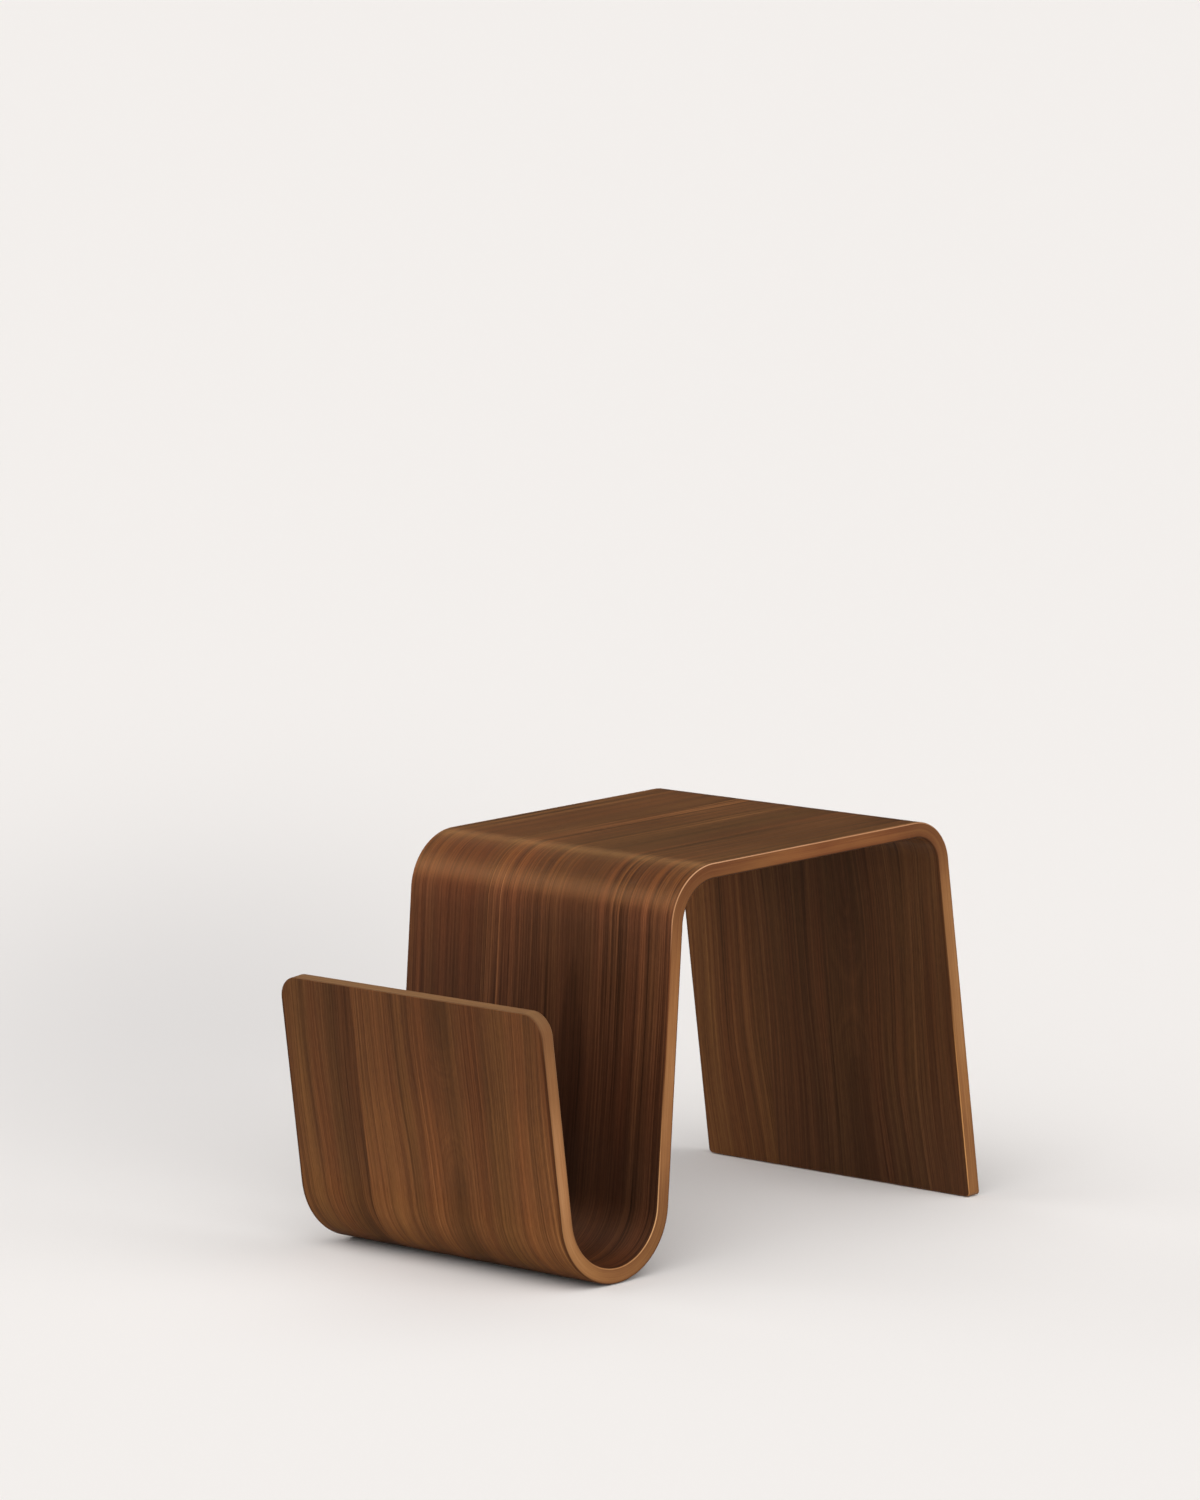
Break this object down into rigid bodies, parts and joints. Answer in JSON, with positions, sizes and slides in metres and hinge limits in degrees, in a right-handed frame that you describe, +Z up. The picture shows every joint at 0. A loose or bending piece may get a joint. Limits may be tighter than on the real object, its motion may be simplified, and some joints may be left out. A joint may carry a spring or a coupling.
{
  "type": "side table with magazine rack",
  "caption": "Low side table moulded as a continuous bent-plywood ribbon: flat walnut-veneered top, splayed foot and U-shaped magazine rack, on thin floor glides.",
  "frame": {"origin": "centre of the bounding box's underside, on the floor plane", "axes": "+X runs the long way from the rack to the splayed foot, +Y across the ribbon, +Z up; the part is symmetric about the XZ plane except for the veneer splices"},
  "size_m": [0.6474, 0.396, 0.42],
  "materials": {
    "walnut_veneer": "satin clear lacquer over walnut veneer, grain along the ribbon",
    "core_ply": "sanded and lacquered ply edge, stained to a golden walnut tone",
    "glide": "matt dark brown nylon"
  },
  "bodies": {
    "root": {"glide_foot_back": "glide", "glide_foot_front": "glide", "glide_rack_back": "glide", "glide_rack_front": "glide", "ply_01_cross_grain": "core_ply", "ply_02_long_grain": "core_ply", "ply_03_cross_grain": "core_ply", "ply_04_long_grain": "core_ply", "ply_05_cross_grain": "core_ply", "ply_06_long_grain": "core_ply", "ply_07_cross_grain": "core_ply", "ply_08_long_grain": "core_ply", "ply_09_cross_grain": "core_ply", "ply_10_long_grain": "core_ply", "ply_11_cross_grain": "core_ply", "veneer_floor_side_narrow_leaf": "walnut_veneer", "veneer_floor_side_wide_leaf": "walnut_veneer", "veneer_show_side_narrow_leaf": "walnut_veneer", "veneer_show_side_wide_leaf": "walnut_veneer"}
  },
  "joints": []
}
